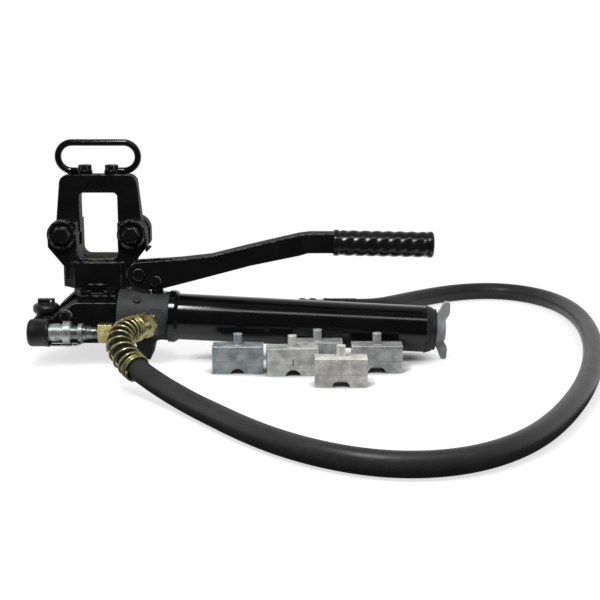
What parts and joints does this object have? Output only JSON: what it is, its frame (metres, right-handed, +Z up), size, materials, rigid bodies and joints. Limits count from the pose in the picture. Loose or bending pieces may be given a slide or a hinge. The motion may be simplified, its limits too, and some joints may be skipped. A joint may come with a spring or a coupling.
{
  "type": "hydraulic crimping tool",
  "caption": "Hand-pumped hydraulic crimping tool with a swing-yoke press head, forked pump lever, pressure hose and loose crimping dies.",
  "frame": {"origin": "on the floor, on the foot face straight below the middle of the pump collar", "axes": "+X along the reservoir towards the wing nut, -Y towards the side with the hose port, +Z up"},
  "size_m": [0.7012, 0.7726, 0.2581],
  "materials": {
    "black_paint": "semi-gloss black paint",
    "gloss_black": "gloss black enamel",
    "grey_cast": "matt charcoal casting",
    "wing_cast": "as-cast grey",
    "bright_zinc": "bright zinc plate",
    "die_steel": "satin zinc with scratches",
    "brass": "machined pale brass",
    "yellow_zinc": "yellow passivated wire",
    "olive_zinc": "olive passivated steel",
    "pin_steel": "oiled steel",
    "black_rubber": "moulded black rubber",
    "hose_rubber": "satin charcoal hose cover",
    "black_plastic": "moulded black plastic"
  },
  "bodies": {
    "base": {"pump_block": "black_paint", "pump_collar": "grey_cast", "clamp_ring": "gloss_black", "reservoir_tube": "gloss_black", "rear_cap": "grey_cast", "tie_rod": "pin_steel", "front_seal": "black_rubber", "rear_seal": "black_rubber", "suction_filter": "brass", "check_ball": "pin_steel", "press_body": "black_paint", "yoke": "black_paint", "pin_lock_screw": "pin_steel", "carry_ring": "black_paint", "ring_bolts": "black_paint", "seat_bolts": "black_paint", "fulcrum_pin": "black_paint", "plunger_gland": "pin_steel", "release_gland": "pin_steel", "bleed_screw": "black_paint", "gallery_plug": "black_paint", "adaptor": "brass", "coupler_body": "bright_zinc", "cap_tether": "bright_zinc", "port_washer": "bright_zinc", "swivel_nut": "brass", "hose_ferrule": "brass", "spring_guard": "yellow_zinc", "hose": "hose_rubber", "free_ferrule": "bright_zinc", "free_coupler": "bright_zinc", "die_1": "die_steel", "die_2": "die_steel", "die_3": "die_steel", "die_4": "die_steel", "die_5": "die_steel"},
    "lever": {"lever": "black_paint", "lever_grip": "black_rubber", "link_pin": "black_paint"},
    "plunger": {"plunger": "pin_steel"},
    "ram": {"ram": "olive_zinc", "ram_seal": "black_rubber"},
    "release_knob": {"release_knob": "black_plastic"},
    "left_pin": {"left_pin": "black_paint"},
    "right_pin": {"right_pin": "black_paint"},
    "coupler_sleeve": {"coupler_sleeve": "bright_zinc"},
    "dust_cap": {"dust_cap": "black_rubber"},
    "wing_nut": {"wing_nut": "wing_cast"},
    "free_sleeve": {"free_sleeve": "bright_zinc"}
  },
  "joints": [
    {"name": "lever_hinge", "type": "hinge", "parent": "base", "child": "lever", "pos_m": [-0.004, 0, 0.105], "axis": [0, -1, 0], "range_deg": [0, 38]},
    {"name": "plunger_slide", "type": "slide", "parent": "base", "child": "plunger", "axis": [0, 0, 1], "range_m": [0, 0.0145]},
    {"name": "ram_slide", "type": "slide", "parent": "base", "child": "ram", "axis": [0, 0, 1], "range_m": [0, 0.03]},
    {"name": "release_turn", "type": "hinge", "parent": "base", "child": "release_knob", "pos_m": [-0.117, 0, 0.05], "axis": [0, 0, 1], "range_deg": [0, 270]},
    {"name": "left_pin_pull", "type": "slide", "parent": "base", "child": "left_pin", "axis": [0, -1, 0], "range_m": [0, 0.064]},
    {"name": "right_pin_pull", "type": "slide", "parent": "base", "child": "right_pin", "axis": [0, -1, 0], "range_m": [0, 0.064]},
    {"name": "sleeve_slide", "type": "slide", "parent": "base", "child": "coupler_sleeve", "axis": [1, 0, 0], "range_m": [0, 0.005], "stiffness_N_per_m": 400},
    {"name": "dust_cap_pull", "type": "slide", "parent": "base", "child": "dust_cap", "axis": [-1, 0, 0], "range_m": [0, 0.03]},
    {"name": "wing_nut_turn", "type": "hinge", "parent": "base", "child": "wing_nut", "pos_m": [0.34452, 0, 0.03574], "axis": [0.9986, 0, -0.0529], "continuous": true},
    {"name": "free_sleeve_slide", "type": "slide", "parent": "base", "child": "free_sleeve", "axis": [1, 0, 0], "range_m": [0, 0.005], "stiffness_N_per_m": 400}
  ],
  "couplings": [
    {"joint": "plunger_slide", "follows": "lever_hinge", "m_per_rad": 0.02112}
  ]
}
